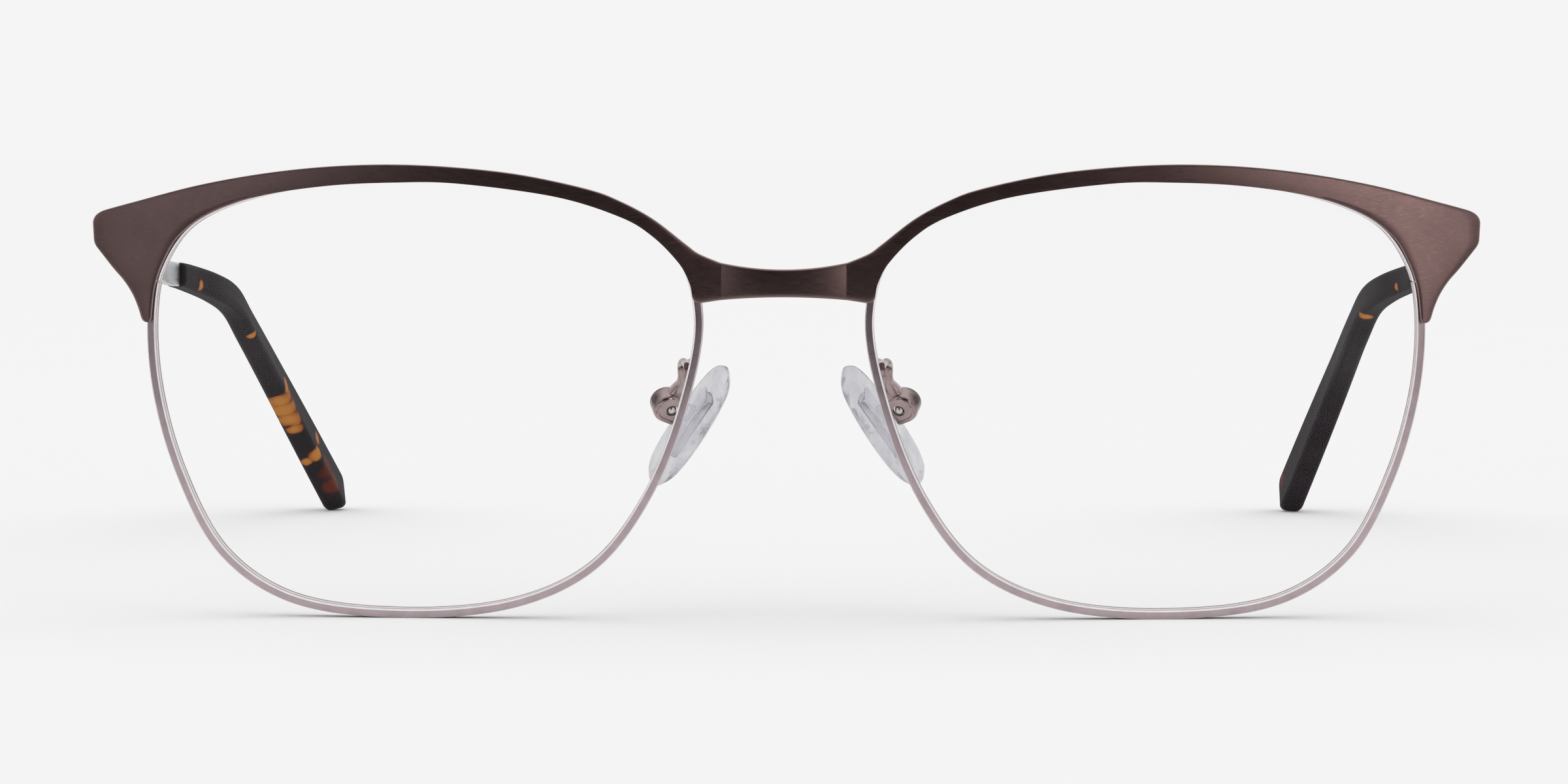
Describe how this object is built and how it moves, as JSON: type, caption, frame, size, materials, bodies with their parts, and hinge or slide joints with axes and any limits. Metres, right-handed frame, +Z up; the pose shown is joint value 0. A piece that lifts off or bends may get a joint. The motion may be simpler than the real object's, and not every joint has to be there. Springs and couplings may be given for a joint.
{
  "type": "eyeglasses",
  "caption": "Browline metal eyeglasses with thin full rims under a brow plate, clear lenses, rocking nose pads and folding temples with tortoise acetate tips.",
  "frame": {"origin": "centre of the open glasses' footprint, on the surface they stand on", "axes": "+Z up, the front faces -Y, the temples run back along +Y, +X to the wearer's left"},
  "size_m": [0.146, 0.1477, 0.0453],
  "materials": {
    "brown_metal": "satin brown plating with a fine grain",
    "mauve_metal": "satin silver-mauve plating",
    "steel": "brushed grey steel",
    "screw_steel": "bright turned steel",
    "tortoise": "polished dark tortoise acetate with amber patches",
    "lens_glass": "clear polished demo lens",
    "silicone": "clear soft silicone",
    "pad_plastic": "clear hard plastic"
  },
  "bodies": {
    "front": {"brow_plate": "brown_metal", "eyewire_left": "mauve_metal", "eyewire_right": "mauve_metal", "lens_left": "lens_glass", "lens_right": "lens_glass", "rim_lock_upper_left": "mauve_metal", "rim_lock_upper_right": "mauve_metal", "rim_lock_lower_left": "mauve_metal", "rim_lock_lower_right": "mauve_metal", "rim_lock_screw_left": "screw_steel", "rim_lock_screw_right": "screw_steel", "endpiece_left": "brown_metal", "endpiece_right": "brown_metal", "front_hinge_left": "steel", "front_hinge_right": "steel", "hinge_screw_left": "screw_steel", "hinge_screw_right": "screw_steel", "pad_arm_left": "mauve_metal", "pad_arm_right": "mauve_metal", "pad_box_left": "mauve_metal", "pad_box_right": "mauve_metal", "pad_screw_left": "screw_steel", "pad_screw_right": "screw_steel"},
    "temple_left": {"temple_arm_left": "steel", "temple_tip_left": "tortoise", "temple_hinge_left": "steel"},
    "temple_right": {"temple_arm_right": "steel", "temple_tip_right": "tortoise", "temple_hinge_right": "steel"},
    "pad_left": {"nose_pad_left": "silicone", "pad_core_left": "pad_plastic"},
    "pad_right": {"nose_pad_right": "silicone", "pad_core_right": "pad_plastic"}
  },
  "joints": [
    {"name": "temple_fold_left", "type": "hinge", "parent": "front", "child": "temple_left", "pos_m": [0.0662, -0.0633, 0.0375], "axis": [0, 0.0738, 0.9973], "range_deg": [0, 88]},
    {"name": "temple_fold_right", "type": "hinge", "parent": "front", "child": "temple_right", "pos_m": [-0.0662, -0.0633, 0.0375], "axis": [0, -0.0738, -0.9973], "range_deg": [0, 80]},
    {"name": "pad_rock_left", "type": "hinge", "parent": "front", "child": "pad_left", "pos_m": [0.01168, -0.06335, 0.02091], "axis": [0.2651, 0.8116, 0.5206], "range_deg": [-8, 8]},
    {"name": "pad_rock_right", "type": "hinge", "parent": "front", "child": "pad_right", "pos_m": [-0.01168, -0.06335, 0.02091], "axis": [-0.2651, 0.8116, 0.5206], "range_deg": [-8, 8]}
  ]
}
